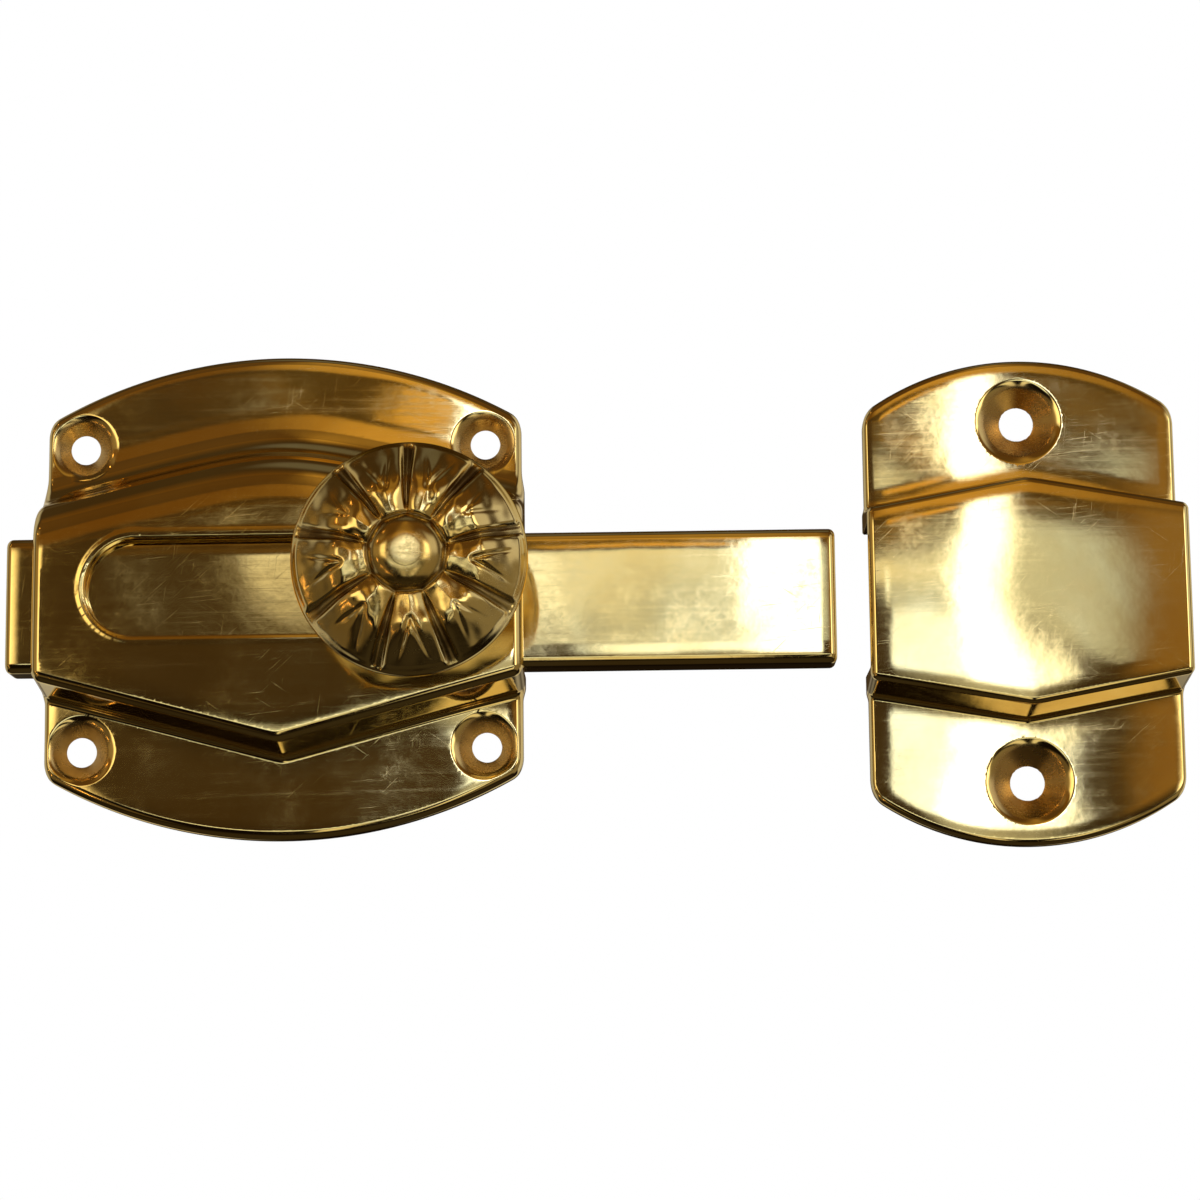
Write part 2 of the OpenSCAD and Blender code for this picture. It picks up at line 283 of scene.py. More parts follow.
def surface_nets(field, low, high, pitch):
    """Vertices, triangles and normals of a field's surface: a grid's net, drawn onto it."""
    axes = [np.arange(a - 2 * pitch, b + 3 * pitch, pitch) for a, b in zip(low, high)]
    value = field(*np.meshgrid(*axes, indexing="ij", sparse=True))
    cells = np.array(value.shape) - 1
    total = np.zeros((*cells, 3))
    count = np.zeros(cells)
    rings = []
    for axis in range(3):
        near = np.take(value, np.arange(cells[axis]), axis)
        far = np.take(value, np.arange(1, cells[axis] + 1), axis)
        edges = np.argwhere((near < 0) != (far < 0))
        a, b = near[tuple(edges.T)], far[tuple(edges.T)]
        point = edges.astype(float)
        point[:, axis] += a / (a - b)
        u, v = np.eye(3, dtype=int)[[i for i in range(3) if i != axis]]
        ring = [edges, edges - u, edges - u - v, edges - v]
        for cell in ring:
            np.add.at(total, tuple(cell.T), point)
            np.add.at(count, tuple(cell.T), 1)
        rings.append(ring)
    used = count > 0
    number = np.full(cells, -1)
    number[used] = np.arange(used.sum())
    start = np.array([a[0] for a in axes])
    verts = settle(field, total[used] / count[used][:, None] * pitch + start, pitch)
    quads = np.concatenate([np.stack([number[tuple(c.T)] for c in ring], 1) for ring in rings])
    faces = np.concatenate([quads[:, [0, 1, 2]], quads[:, [0, 2, 3]]])
    for bend in REFINE_BENDS:
        verts, faces = refine(field, verts, faces, math.cos(math.radians(bend)))
    normals = gradient(field, verts)
    normals /= np.linalg.norm(normals, axis=1, keepdims=True)
    corner = verts[faces]
    facing = np.cross(corner[:, 1] - corner[:, 0], corner[:, 2] - corner[:, 0])
    inward = (facing * normals[faces].sum(1)).sum(1) < 0
    faces[inward] = faces[inward][:, ::-1]
    return verts, faces, normals


def settle(field, verts, reach):
    """Draws points onto the field's surface."""
    for _ in range(4):
        slope, here = gradient(field, verts), field(*verts.T)
        step = np.clip(here / np.maximum((slope**2).sum(1), 1e-6), -reach / 2, reach / 2)
        verts = verts - slope * step[:, None]
    return verts


def refine(field, verts, faces, straight):
    """Splits the edges of triangles along which the surface turns, and settles the new points."""
    normals = gradient(field, verts)
    normals /= np.linalg.norm(normals, axis=1, keepdims=True)
    sides = np.sort(faces[:, [0, 1, 1, 2, 2, 0]].reshape(-1, 2), axis=1)
    edges, index = np.unique(sides, axis=0, return_inverse=True)
    a, b = edges.T
    split = (normals[a] * normals[b]).sum(1) < straight
    middle = np.full(len(edges), -1)
    middle[split] = len(verts) + np.arange(split.sum())
    fresh = settle(field, (verts[a[split]] + verts[b[split]]) / 2, 0.2)
    cut = middle[index.reshape(-1, 3)]
    count = (cut >= 0).sum(1)
    done = [faces[count == 0]]
    for turn in range(3):
        order = [turn, (turn + 1) % 3, (turn + 2) % 3]
        p, q, r = faces[:, order].T
        pq, qr, rp = cut[:, order].T
        one = (count == 1) & (pq >= 0)
        done += [np.stack(t, 1)[one] for t in ((p, pq, r), (pq, q, r))]
        two = (count == 2) & (rp < 0)
        done += [np.stack(t, 1)[two] for t in ((pq, q, qr), (p, pq, qr), (p, qr, r))]
        if turn == 0:
            full = count == 3
            triples = ((p, pq, rp), (pq, q, qr), (rp, qr, r), (pq, qr, rp))
            done += [np.stack(t, 1)[full] for t in triples]
    return np.concatenate([verts, fresh]), np.concatenate(done)


def revolve(profile, steps, centre, lift=None):
    """A closed turned shape from (radius, height) rows that start and end on the axis."""
    angles = np.arange(steps) * math.tau / steps
    rows = np.array(profile[1:-1], float)
    radius = np.repeat(rows[:, :1], steps, 1)
    height = np.repeat(rows[:, 1:], steps, 1)
    around = np.repeat(angles[None], len(rows), 0)
    if lift is not None:
        height = height + lift(radius, around, height)
    ring = np.stack([radius * np.cos(around), radius * np.sin(around), height], 2).reshape(-1, 3)
    poles = np.array([[0, 0, profile[0][1]], [0, 0, profile[-1][1]]], float)
    if lift is not None:
        poles[1, 2] += lift(np.zeros(1), np.zeros(1), poles[1:, 2])[0]
    verts = np.concatenate([ring, poles]) + [centre[0], centre[1], 0]
    this = np.arange(steps)
    after = (this + 1) % steps
    faces = []
    for row in range(len(rows) - 1):
        a, b = row * steps, (row + 1) * steps
        faces += np.stack([a + this, a + after, b + after, b + this], 1).tolist()
    first, last = len(ring), len(ring) + 1
    top = (len(rows) - 1) * steps
    faces += np.stack([after, this, np.full(steps, first)], 1).tolist()
    faces += np.stack([top + this, top + after, np.full(steps, last)], 1).tolist()
    return verts, faces


def hole_stain(verts, holes, sink_r):
    """Where a casting keeps its dull skin: in its countersinks and on its back."""
    stain = smooth_step((0.9 - verts[:, 2]) / 0.5)
    for x, y in holes:
        away = np.hypot(verts[:, 0] - x, verts[:, 1] - y)
        stain = np.maximum(stain, smooth_step((sink_r + 0.1 - away) / 0.9))
    return stain


def stand_up(points):
    """From the lying latch to the row frame: x stays, y becomes up and z becomes -Y."""
    return np.stack([points[:, 0], -points[:, 2], points[:, 1]], 1)


def add_piece(name, verts, faces, normals, material, body, node, slot, patina=None):
    """A visible piece in the row frame, which stands for a CAD node and moves with a body."""
    mesh = bpy.data.meshes.new(name)
    mesh.from_pydata((stand_up(verts) * MM).tolist(), [], [list(f) for f in faces])
    mesh.polygons.foreach_set("use_smooth", [True] * len(mesh.polygons))
    if patina is not None:
        layer = mesh.attributes.new("patina", "FLOAT", "POINT")
        layer.data.foreach_set("value", patina.astype(np.float32))
    mesh.update()
    if normals is not None:
        mesh.normals_split_custom_set_from_vertices(stand_up(normals).tolist())
    mesh.materials.append(material)
    piece = bpy.data.objects.new(name, mesh)
    bpy.context.scene.collection.objects.link(piece)
    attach(piece, body)
    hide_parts(node)
    return piece


# ---------------------------------------------------------------- the knob

NECK_FOOT = COLLAR_HIGH[2]
RIM_Z = KNOB_HIGH[2] - 6.8
RIM_R = (KNOB_HIGH[0] - KNOB_LOW[0]) / 2
FACE_Z = RIM_Z + 0.6
FACE_R = RIM_R - 0.6
FACE_RISE = 4.6
BOSS_R = 5.6
BOSS_RISE = 1.6
BOSS_SINK = 0.9
BOSS_LEAN = 0.055
BOSS_DROOP = 0.03
BOSS_TOP = FACE_RISE + BOSS_RISE + RIM_Z + 0.6
SHELF_R = 7.4
SHELF_FADE = 4.2
KNOB_BORE_R = 2.05
KNOB_BORE_DEPTH = 9.5
NECK_R = 6.2
# The neck and the saucer under the rim, as radius and height over the neck's foot. The curve
# between them is smoothed.
NECK_GUIDE = (
    (NECK_R, 1.0), (5.9, 1.9), (4.9, 3.2), (4.5, 5.2), (4.7, 8.0),
    (5.9, 10.6), (8.6, 12.5), (12.2, 14.1), (14.4, 15.3), (15.4, 16.0),
)
# Each ray's turn away from an even ninth, in degrees, and how deep each leaf's notch is cut
RAY_TURNS = (0, -2.7, -4, 1, 3.5, 2.7, 3, 3.8, 3.4)
NOTCHES = (0.6, 0.25, 0.9, 0.7, 1.0, 0.35, 1.0, 0.3, 0.5)


def dome(r, radius, rise):
    """How far a spherical cap of that radius and rise has fallen at distance r from its top."""
    cap = (radius * radius + rise * rise) / (2 * rise)
    return cap - np.sqrt(np.maximum(cap * cap - r * r, 0))


def shelf(r):
    """How far the petals' inner ends stand above the plain dome, as they start out nearly level."""
    knots = np.linspace(BOSS_R, RIM_R, 80)
    level = 1 - smooth_step((knots - SHELF_R) / SHELF_FADE)
    gained = np.cumsum(np.gradient(dome(np.minimum(knots, FACE_R), FACE_R, FACE_RISE)) * level)
    return np.interp(r, knots, gained) * smooth_step((RIM_R - 0.4 - r) / (RIM_R - 2 - SHELF_R))


def angle_from(turn, ray):
    """The angle from a ray to each point, between half a turn back and half a turn on."""
    return (turn - ray + math.pi) % math.tau - math.pi


def chase_rays(rays, r, turn):
    """How deep each point lies in a ray's two grooves, and how far it is from the nearest ray."""
    far = 9.0
    groove = np.zeros_like(r)
    leaf = np.full_like(r, far)
    for ray in rays:
        off = angle_from(turn, ray)
        side = np.abs(r * np.sin(off)) + far * (np.abs(off) > 1.2)
        half = np.interp(r, (5.8, 7.5, 15.5), (0.22, 0.42, 1.02))
        groove = groove + np.exp(-(((side - 0.55 * half) / (0.42 * half)) ** 2))
        leaf = np.minimum(leaf, side)
    return groove, leaf


def chase_notches(lift, rays, r, turn):
    """The relief with each leaf's notch: two legs that open outwards, and a bump between them."""
    for i, depth in enumerate(NOTCHES):
        step = (rays[(i + 1) % len(rays)] - rays[i]) % math.tau
        off = angle_from(turn - rays[i], step / 2)
        along = r * np.cos(off)
        side = r * np.sin(off)
        apex = 8.6 + 0.9 * (1 - depth)
        leg = (np.abs(side) - 0.40 * (along - apex)) * 0.93
        run = smooth_step((along - apex) / 0.8 + 0.5) * smooth_step((14.6 - along) / 3.2)
        near = np.abs(off) < 0.36
        cut = np.exp(-((leg / 0.34) ** 2)) * run * near
        bump = np.exp(-((side / 0.8) ** 2) - ((along - apex - 2.4) / 1.3) ** 2) * near
        lift = lift + depth * (0.22 * bump - 0.42 * cut)
    return lift


def rosette(r, turn, height, form=1.0):
    """The chased relief on the knob's face, as a lift above the plain dome.

    form is how much of the face's broad shape goes with the chasing.
    """
    rays = [math.radians(90 + 40 * i + RAY_TURNS[i]) for i in range(len(RAY_TURNS))]
    on_face = smooth_step((height - RIM_Z - 0.3) / 0.3) * smooth_step((RIM_R - 0.2 - r) / 0.5)
    out = smooth_step((r - BOSS_R + 0.6) / 0.3)
    groove, leaf = chase_rays(rays, r, turn)
    shoulder = np.clip(np.minimum(leaf / 1.7, (r - BOSS_R + 0.65) / 0.6), 0, 1)
    pillow = 0.6 * (1 - (1 - shoulder) ** 2.4) + 0.3 * smooth_step(leaf / 4.8)
    lift = out * (pillow + form * shelf(r) - 0.55 * groove * smooth_step((r - 5.6) / 1.4))
    lift = chase_notches(lift, rays, r, turn)
    rng = np.random.default_rng(5)
    x, y = r * np.cos(turn), r * np.sin(turn)
    lift = lift - form * (BOSS_LEAN * x - BOSS_DROOP * y) * smooth_step((12 - r) / 5)
    for wave in (7.0, 5.1, 3.7, 2.6, 1.9):
        angle, phase = rng.uniform(0, math.tau, 2)
        along = (x * math.cos(angle) + y * math.sin(angle)) * math.tau / wave
        lift = lift + 0.01 * wave * out * np.sin(along + phase)
    lift = lift * (0.15 + 0.85 * smooth_step((RIM_R - 0.25 - r) / 0.8)) * on_face
    boss_fall = (BOSS_RISE + BOSS_SINK) * (r / BOSS_R) ** 4.6 + (x * x + 5 * y * y) / 600
    boss_fall = boss_fall + BOSS_LEAN * x - BOSS_DROOP * y
    boss = BOSS_TOP - boss_fall - height
    crease = -0.3 * np.exp(-(((r - BOSS_R + 0.35) / 0.25) ** 2))
    leaves = lift + crease * (height > RIM_Z)
    return np.where(r < BOSS_R + 0.2, np.maximum(boss, lift + crease), leaves)


def knob_stain(verts):
    """How dark the knob's old polish is: it stays in the chased grooves."""
    x, y = verts[:, 0] - KNOB_X, verts[:, 1]
    r = np.hypot(x, y)
    plain = FACE_Z + FACE_RISE - dome(np.minimum(r, FACE_R), FACE_R, FACE_RISE)
    relief = rosette(r, np.arctan2(y, x), plain, 0.0)
    low = smooth_step((0.12 - relief) / 0.4) * smooth_step((verts[:, 2] - RIM_Z - 0.4) / 0.4)
    moat = 0.8 * np.exp(-(((r - BOSS_R + 0.4) / 0.3) ** 2)) * (verts[:, 2] > RIM_Z + 0.4)
    return np.maximum(0.95 * low * smooth_step((r - BOSS_R + 0.9) / 0.3), moat)


def knob_profile():
    """The knob's turned outline: screw bore, neck, saucer, rim and the dome of its face."""
    bore_r, bore_top = KNOB_BORE_R, NECK_FOOT + KNOB_BORE_DEPTH
    rows = [(0, bore_top), (bore_r, bore_top), (bore_r, bore_top - 0.05)]
    rows += [(bore_r, NECK_FOOT + 0.1), (bore_r + 0.1, NECK_FOOT), (NECK_R - 0.2, NECK_FOOT)]
    rows += [(NECK_R, NECK_FOOT + 0.2), (NECK_R, NECK_FOOT + 1.0)]
    steps = np.linspace(0, 1, 46)[1:]
    knots = np.linspace(0, 1, len(NECK_GUIDE))
    radii = np.interp(steps, knots, [radius for radius, _ in NECK_GUIDE])
    heights = np.interp(steps, knots, [height for _, height in NECK_GUIDE])
    for _ in range(3):
        radii[1:-1] = (radii[:-2] + 2 * radii[1:-1] + radii[2:]) / 4
        heights[1:-1] = (heights[:-2] + 2 * heights[1:-1] + heights[2:]) / 4
    rows += [(a, NECK_FOOT + b) for a, b in zip(radii, heights)]
    under = rows[-1]
    for t in np.linspace(0, math.pi, 13):
        middle = (FACE_Z + under[1]) / 2
        half = (FACE_Z - under[1]) / 2
        rows.append((under[0] + (RIM_R - under[0]) * math.sin(t), middle - half * math.cos(t)))
    face_top = FACE_Z + FACE_RISE
    for r in np.linspace(FACE_R, 0, 105)[1:]:
        rows.append((r, face_top - dome(r, FACE_R, FACE_RISE)))
    return rows


def collar_profile():
    """The collar's turned outline: a ring with soft edges, whose bore the screw fills."""
    low, high = COLLAR_LOW[2], COLLAR_HIGH[2]
    ring_r = (COLLAR_HIGH[0] - COLLAR_LOW[0]) / 2
    bore_top = low + 3.9
    rows = [(0, bore_top), (BORE_R, bore_top), (BORE_R, low + 0.1), (BORE_R + 0.1, low)]
    rows += [(ring_r - 0.25, low), (ring_r, low + 0.25), (ring_r, high - 0.5)]
    return rows + [(ring_r - 0.15, high - 0.15), (ring_r - 0.5, high), (0, high)]


# ---------------------------------------------------------------- materials


class Graph:
    """A short way to write a node tree."""

    def __init__(self, tree):
        self.tree = tree
        tree.nodes.clear()

    def add(self, kind, inputs=None, **settings):
        """A node, with each input linked to a socket or set to a value."""
        node = self.tree.nodes.new("ShaderNode" + kind)
        for key, value in settings.items():
            setattr(node, key, value)
        for key, value in (inputs or {}).items():
            if isinstance(value, bpy.types.NodeSocket):
                self.tree.links.new(value, node.inputs[key])
            else:
                node.inputs[key].default_value = value
        return node

    def math(self, operation, *values):
        """The result of one sum."""
        return self.add("Math", dict(enumerate(values)), operation=operation).outputs[0]

    def ramp(self, value, low, high, to_low=0.0, to_high=1.0):
        """value from low to high, drawn evenly onto to_low to to_high."""
        inputs = {"Value": value, "From Min": low, "From Max": high}
        inputs.update({"To Min": to_low, "To Max": to_high})
        return self.add("MapRange", inputs, interpolation_type="SMOOTHSTEP").outputs["Result"]

    def blend(self, factor, a, b):
        """Colour a where factor is 0 and colour b where it is 1."""
        node = self.add("Mix", data_type="RGBA")
        for index, value in ((0, factor), (6, a), (7, b)):
            if isinstance(value, bpy.types.NodeSocket):
                self.tree.links.new(value, node.inputs[index])
            else:
                node.inputs[index].default_value = value
        return node.outputs[2]

    def noise(self, place, scale, detail=3.0, roughness=0.5, warp=0.0):
        """Cloudy noise around 0.5."""
        inputs = {"Vector": place, "Scale": scale, "Detail": detail}
        inputs.update({"Roughness": roughness, "Distortion": warp})
        return self.add("TexNoise", inputs).outputs["Fac"]

    def stretched(self, place, scale):
        """The place, scaled along each axis."""
        return self.add("Mapping", {"Vector": place, "Scale": scale}).outputs[0]


def brass(name, bright=(0.92, 0.755, 0.37, 1), deep=(0.84, 0.63, 0.25, 1), gloss=0.05, haze=0.26,
          brushed=0.2, dents=0.3, stain=(0.72, 0.50, 0.22, 1), edge=(1, 1, 1, 1), seed=0.0):
    """Polished brass with a hand-rubbed film, cloudy smudges, hairlines, small dents and stains.

    haze is how much the smudges roughen it, stain is the patina's colour, edge tints what it
    mirrors at a low angle, and seed moves the pattern.
    """
    material = bpy.data.materials.new(name)
    material.use_nodes = True
    g = Graph(material.node_tree)
    place = g.add("TexCoord").outputs["Object"]
    place = g.add("Mapping", {"Vector": place, "Location": (seed, seed, seed)}).outputs[0]
    film = g.ramp(g.noise(place, 38, 5, 0.6, 0.4), 0.36, 0.66)
    colour = g.blend(film, deep, bright)
    cloud = g.ramp(g.noise(place, 75, 5, 0.62, 0.3), 0.4, 0.8)
    mottle = g.ramp(g.noise(place, 900, 3, 0.7), 0.35, 0.65, 0.35, 1.0)
    cloud = g.math("MULTIPLY", cloud, mottle)
    scratches = 0.0
    for turn, most in ((0.1, 0.64), (0.75, 0.66), (-0.6, 0.665), (1.45, 0.67)):
        turned = g.add("Mapping", {"Vector": place, "Rotation": (0, turn, 0)}).outputs[0]
        lines = g.noise(g.stretched(turned, (140, 1500, 7000)), 1, 2, 0.5, 0.2)
        scratches = g.math("MAXIMUM", g.ramp(lines, most, most + 0.1), scratches)
    worn = g.ramp(g.noise(place, 60, 3, 0.6), 0.42, 0.62)
    scratches = g.math("MULTIPLY", scratches, g.math("MULTIPLY_ADD", worn, 0.8, 0.2))
    rubbed = g.ramp(g.noise(g.stretched(place, (45, 500, 1300)), 1, 4, 0.7), 0.45, 0.8)
    rough = g.math("MULTIPLY_ADD", cloud, haze, gloss)
    rough = g.math("MULTIPLY_ADD", rubbed, brushed * 0.3, rough)
    rough = g.math("MULTIPLY_ADD", scratches, 0.14, rough)
    patina = g.add("Attribute", attribute_name="patina").outputs["Fac"]
    patina = g.math("MULTIPLY", patina, g.ramp(g.noise(place, 420, 4, 0.65), 0.2, 0.6, 0.7, 1.0))
    colour = g.blend(patina, colour, stain)
    rough = g.math("MULTIPLY_ADD", patina, 0.22, rough)
    waves = g.math("MULTIPLY", g.noise(place, 210, 3, 0.5), 0.5 * dents)
    grain = g.math("MULTIPLY_ADD", rubbed, 0.06 * brushed, waves)
    grain = g.math("MULTIPLY_ADD", g.noise(place, 2600, 2, 0.6), 0.006, grain)
    crust = g.math("MULTIPLY", g.noise(place, 1500, 3, 0.6), 0.12)
    grain = g.math("MULTIPLY_ADD", patina, crust, grain)
    bump = g.add("Bump", {"Height": grain, "Strength": 0.3, "Distance": 0.0002})
    inputs = {"Base Color": colour, "Metallic": 1.0, "Roughness": rough}
    inputs.update({"Normal": bump.outputs[0], "Specular Tint": edge})
    shader = g.add("BsdfPrincipled", inputs)
    g.add("OutputMaterial", {"Surface": shader.outputs[0]})
    return material


def steel(name, colour, gloss, brushed):
    """Zinc-plated or sprung steel with a faint rolled grain."""
    material = bpy.data.materials.new(name)
    material.use_nodes = True
    g = Graph(material.node_tree)
    place = g.add("TexCoord").outputs["Object"]
    tone = g.ramp(g.noise(place, 160, 4, 0.6), 0.3, 0.7)
    dark = tuple(c * 0.72 for c in colour[:3]) + (1,)
    grain = g.noise(g.stretched(place, (900, 1800, 5200)), 1, 3, 0.6)
    rough = g.math("MULTIPLY_ADD", grain, brushed, gloss)
    bump = g.add("Bump", {"Height": grain, "Strength": 0.25, "Distance": 0.00005})
    inputs = {"Base Color": g.blend(tone, dark, colour), "Metallic": 1.0, "Roughness": rough}
    inputs["Normal"] = bump.outputs[0]
    shader = g.add("BsdfPrincipled", inputs)
    g.add("OutputMaterial", {"Surface": shader.outputs[0]})
    return material


case_brass = brass("case_brass", haze=0.09, seed=0.23)
strike_brass = brass("strike_brass", haze=0.08, brushed=0.12, seed=0.31)
bar_brass = brass("bar_brass", haze=0.12, brushed=0.12, seed=0.77)
knob_brass = brass(
    "aged_brass", gloss=0.12, haze=0.24, brushed=0.3, dents=0.7,
    stain=(0.13, 0.07, 0.024, 1), edge=(0.45, 0.32, 0.15, 1), seed=0.55,
)
rolled_brass = brass(
    "rolled_brass", bright=(0.87, 0.70, 0.36, 1), deep=(0.74, 0.57, 0.27, 1),
    gloss=0.22, brushed=0.8, seed=0.13,
)
spring_steel = steel("blued_steel", (0.42, 0.43, 0.46, 1), 0.22, 0.2)
screw_steel = steel("zinc_plate", (0.70, 0.69, 0.66, 1), 0.2, 0.25)

# ---------------------------------------------------------------- the pieces

shape = surface_nets(case_field, CASE_LOW, CASE_HIGH, PITCH)
spacing = MOUNTS["case_screws"]["dims"]
hole_x, hole_y = spacing["spacing_x_mm"] / 2, spacing["spacing_y_mm"] / 2
holes = [(x, y) for x in (-hole_x, hole_x) for y in (-hole_y, hole_y)]
stain = hole_stain(shape[0], holes, CASE_SINK_R)
add_piece("case_casting", *shape, case_brass, "case", "case", "cast_brass", stain)

shape = surface_nets(strike_field, STRIKE_LOW, STRIKE_HIGH, PITCH)
hole_y = MOUNTS["strike_screws"]["dims"]["spacing_y_mm"] / 2
middle = (STRIKE_LOW + STRIKE_HIGH) / 2
holes = [(middle[0], middle[1] + y) for y in (-hole_y, hole_y)]
stain = hole_stain(shape[0], holes, STRIKE_SINK_R)
add_piece("strike_casting", *shape, strike_brass, "strike", "strike", "cast_brass", stain)

shape = surface_nets(bolt_field, BOLT_LOW, BOLT_HIGH, PITCH)
add_piece("bolt_bar", *shape, bar_brass, "bolt", "bolt", "bolt_brass")

centre = (KNOB_X, 0)
verts, faces = revolve(knob_profile(), 540, centre, rosette)
stain = knob_stain(verts)
add_piece("knob_rosette", verts, faces, None, knob_brass, "bolt", "knob", "knob_brass", stain)
verts, faces = revolve(collar_profile(), 120, centre)
add_piece("collar_ring", verts, faces, None, bar_brass, "bolt", "knob_collar", "bolt_brass")

for node, material in (
    ("back_plate", rolled_brass),
    ("spring_rivets", rolled_brass),
    ("bolt_spring", spring_steel),
    ("back_plate_screws", screw_steel),
    ("knob_screw", screw_steel),
    ("knob_lock_washer", screw_steel),
):
    for slot in frame["nodes"][node].material_slots:
        slot.material = material

# ---------------------------------------------------------------- camera, floor and studio

scene = bpy.context.scene
scene.view_settings.view_transform = "Standard"

camera = bpy.data.cameras.new("camera")
camera.lens = 99.34
camera.sensor_width = 36
camera.clip_start = 0.01
viewer = bpy.data.objects.new("camera", camera)
scene.collection.objects.link(viewer)
pitch, yaw, roll = math.radians(9.351), math.radians(-0.732), math.radians(-0.647)
turn = Matrix.Rotation(-yaw, 4, "Z") @ Matrix.Rotation(math.pi / 2 + pitch, 4, "X")
turn = turn @ Matrix.Rotation(roll, 4, "Z")
viewer.matrix_world = Matrix.Translation(Vector((51.18, -468.73, -78.02)) * MM) @ turn
scene.camera = viewer

floor_mesh = bpy.data.meshes.new("floor")
reach, level = 3.0, -1.0
corners = [(-reach, -reach), (reach, -reach), (reach, reach), (-reach, reach)]
floor_mesh.from_pydata([(x, y, level) for x, y in corners], [], [(0, 1, 2, 3)])
floor = bpy.data.objects.new("floor", floor_mesh)
scene.collection.objects.link(floor)
pale = bpy.data.materials.new("pale_floor")
pale.use_nodes = True
g = Graph(pale.node_tree)
glow = g.add("Emission", {"Color": (0.94, 0.94, 0.93, 1), "Strength": 1.0})
g.add("OutputMaterial", {"Surface": glow.outputs[0]})
floor_mesh.materials.append(pale)
floor.visible_glossy = False
floor.visible_diffuse = False


# The room that the brass mirrors. A panel's left and right are degrees from straight out of the
# door, its bottom and top are degrees above level, and its soft edges come in the same order.
WALLS = (
    # the left wall, its foot and the right wall's foot
    ((-78, -30, -8, 34), (10, 8, 6, 10), (0.30, 0.21, 0.09)),
    ((-84, -28, -45, -4), (9, 4, 6, 6), (0.13, 0.09, 0.04)),
    ((24, 84, -45, 2), (4, 9, 6, 6), (0.22, 0.17, 0.09)),
)
WINDOWS = (
    # the pale strip over the middle window, its cream end, an amber patch and a bright corner
    ((-2.5, 8.5, 8.3, 11.6), (4.0, 2.5, 0.7, 0.5), (0.66, 0.72, 0.76)),
    ((-7.2, 1, 9.5, 11.2), (0.8, 2, 0.6, 0.5), (1.02, 0.98, 0.83)),
    ((-1.6, 1.2, 12.9, 14.4), (0.7, 0.4, 0.4, 0.6), (0.85, 0.48, 0.09)),
    ((-2.3, -1.2, 8.4, 10.3), (0.4, 0.5, 0.6, 0.6), (1.5, 1.6, 1.7)),
    # the middle window, the grey wall under it and the low window
    ((-0.8, 4.6, 3.5, 8.0), (0.6, 1.3, 1.4, 0.9), (1.5, 1.7, 2.0)),
    ((0.0, 4.8, -9, 3.0), (1.6, 1.2, 5, 1.0), (0.5, 0.5, 0.44)),
    ((-13, 9, -10, -3), (3, 3, 3, 1.5), (1.15, 1.2, 1.1)),
    # two tall lights below it
    ((-3.2, 1.9, -40, -13), (0.8, 0.8, 5, 4), (0.85, 0.76, 0.52)),
    ((9.5, 18, -40, -12), (1.2, 2, 5, 4), (0.85, 0.76, 0.52)),
    # the windows to the left and right
    ((-34, -15, -2, 15), (9, 2.5, 3, 2), (1.8, 1.45, 0.8)),
    ((17, 36, -2, 16), (3, 9, 3, 2), (2.6, 2.3, 1.6)),
    # the bright slit, and the brown post beside it
    ((1.7, 4.5, 2.8, 15.5), (0.35, 1.0, 1.3, 1.6), (3.4, 3.7, 4.4)),
    ((8.6, 16, 2, 16), (1.6, 4, 3, 3), (0.26, 0.14, 0.035)),
)
# Warm white panels beside and behind the latch, then the ceiling, and how brightly each glows
AROUND_SOFT = (9, 9, 5, 9)
AROUND = (
    ((-142, -92, -30, 50), 0.45),
    ((32, 74, 2, 34), 0.6),
    ((-166, -140, -44, -14), 0.6),
    ((140, 166, -44, -14), 0.6),
    ((92, 142, -30, 55), 0.6),
    ((146, 163, -6, 34), 0.6),
    ((-163, -146, -6, 34), 0.6),
    ((-200, 200, 80, 100), 0.14),
)
LAMP_REACH = 1.6
LAMPS = ((-58, -10), (-50, -24), (-40, -35), (-59, 25), (-50, 43))
# The wide upper window's bands, as degrees above level and brightness
BANDS = (
    (12.1, 0), (12.7, 0.25), (13.0, 0.32), (13.4, 0.07), (15.4, 0.06),
    (16.6, 0.85), (22, 0.9), (27, 0.35), (58, 0.5),
)
BANDS_END = 60


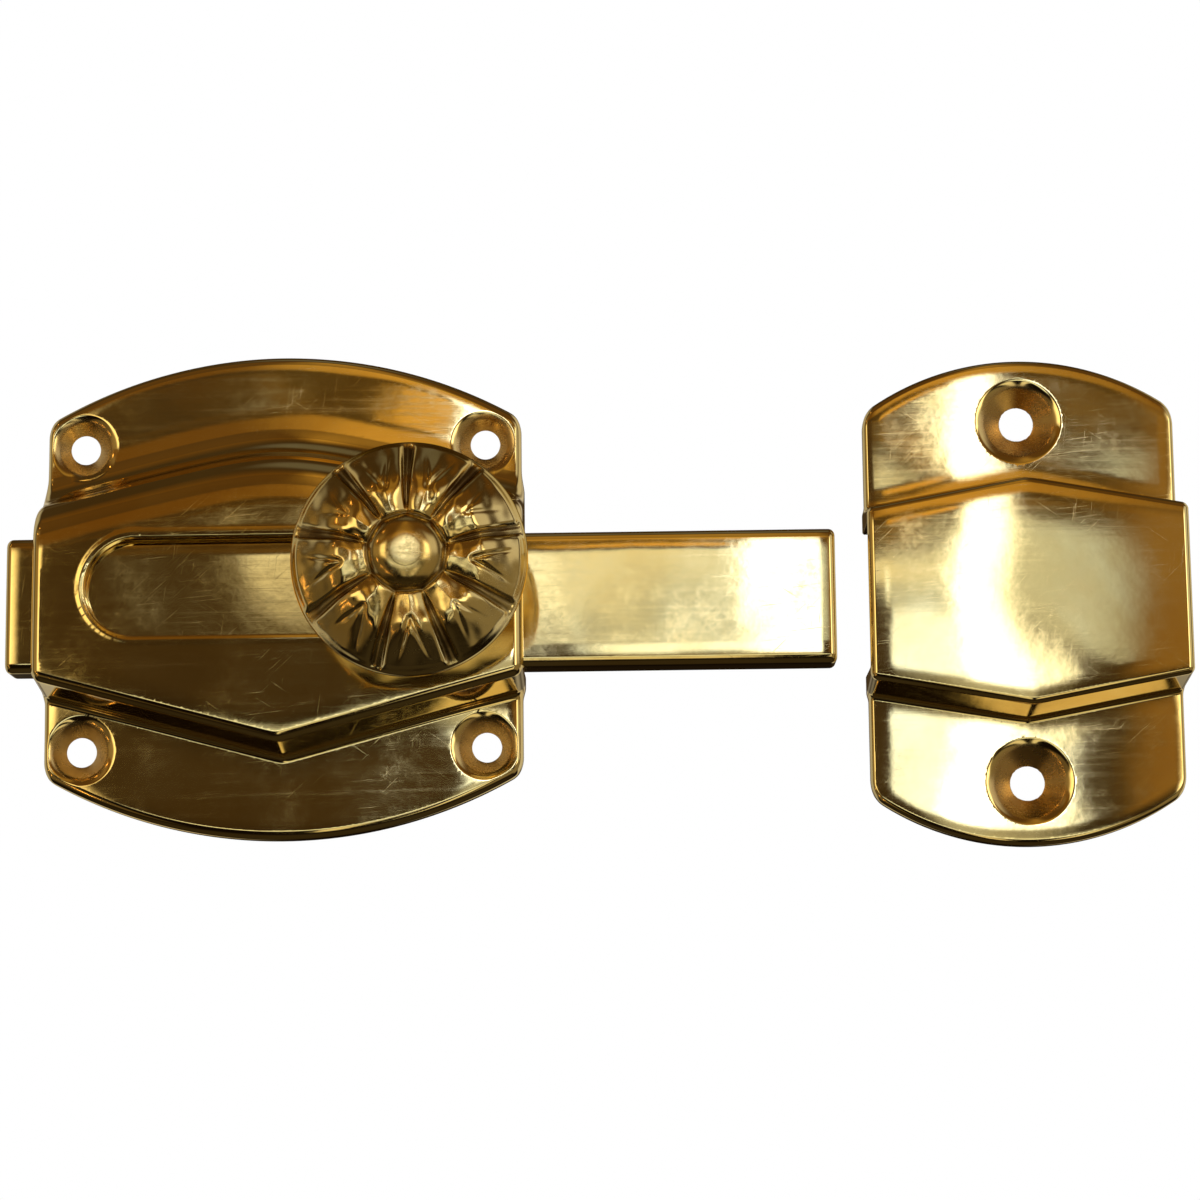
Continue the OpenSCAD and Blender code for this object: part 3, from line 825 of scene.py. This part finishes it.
def studio(world):
    """A dark warm room with soft panels for the brass to mirror. The camera sees plain white."""
    world.use_nodes = True
    g = Graph(world.node_tree)
    way = g.add("SeparateXYZ", {"Vector": g.add("TexCoord").outputs["Generated"]}).outputs
    across = g.math("DEGREES", g.math("ARCTAN2", way[0], g.math("MULTIPLY", way[1], -1.0)))
    above = g.math("DEGREES", g.math("ARCSINE", way[2]))

    def panel(place, soft):
        """1 inside a panel and 0 outside it, with soft edges."""
        left, right, bottom, top = place
        edges = [
            g.ramp(across, left - soft[0], left + soft[0]),
            g.ramp(across, right + soft[1], right - soft[1]),
            g.ramp(above, bottom - soft[2], bottom + soft[2]),
            g.ramp(above, top + soft[3], top - soft[3]),
        ]
        between = g.math("MULTIPLY", edges[0], edges[1])
        return g.math("MULTIPLY", between, g.math("MULTIPLY", edges[2], edges[3]))

    place = g.add("CombineXYZ", {"X": across, "Y": above}).outputs[0]
    wavy = g.noise(g.stretched(place, (0.16, 0.5, 1)), 1.0, 3, 0.5, 0.6)
    bands = g.math("MULTIPLY_ADD", g.math("SUBTRACT", wavy, 0.5), 3.6, above)
    bands = g.add("ValToRGB", {"Fac": g.math("DIVIDE", bands, BANDS_END)})
    for height, level in BANDS:
        stop = bands.color_ramp.elements.new(height / BANDS_END)
        stop.color = (level, level, level, 1)
    bands.color_ramp.elements.remove(bands.color_ramp.elements[0])
    light = g.blend(g.ramp(above, -12, 9), (0.006, 0.0035, 0.0015, 1), (0.056, 0.034, 0.013, 1))
    light = g.blend(g.ramp(above, -42, -70), light, (0.035, 0.025, 0.012, 1))
    for place, soft, colour in WALLS:
        light = g.blend(panel(place, soft), light, (*colour, 1))
    amber = panel((-5, 8, 0, 80), (5, 8, 5, 5))
    amber = g.blend(amber, (0.17, 0.075, 0.012, 1), (0.72, 0.41, 0.085, 1))
    beam = panel((-70, 70, 12.0, 64), (12, 12, 0.6, 14))
    light = g.blend(g.math("MULTIPLY", beam, bands.outputs["Color"]), light, amber)
    for place, soft, colour in WINDOWS:
        light = g.blend(panel(place, soft), light, (*colour, 1))
    for place, glow in AROUND:
        light = g.blend(panel(place, AROUND_SOFT), light, (glow, glow * 0.92, glow * 0.78, 1))
    for side, high in LAMPS:
        place = (side - LAMP_REACH, side + LAMP_REACH, high - LAMP_REACH, high + LAMP_REACH)
        light = g.blend(panel(place, (1, 1, 1, 1)), light, (6.0, 3.0, 0.72, 1))
    seen = g.add("LightPath").outputs["Is Camera Ray"]
    light = g.blend(seen, light, (1.0, 1.0, 1.0, 1))
    room = g.add("Background", {"Color": light, "Strength": 1.0})
    g.add("OutputWorld", {"Surface": room.outputs[0]})


scene.world = bpy.data.worlds.new("studio")
studio(scene.world)
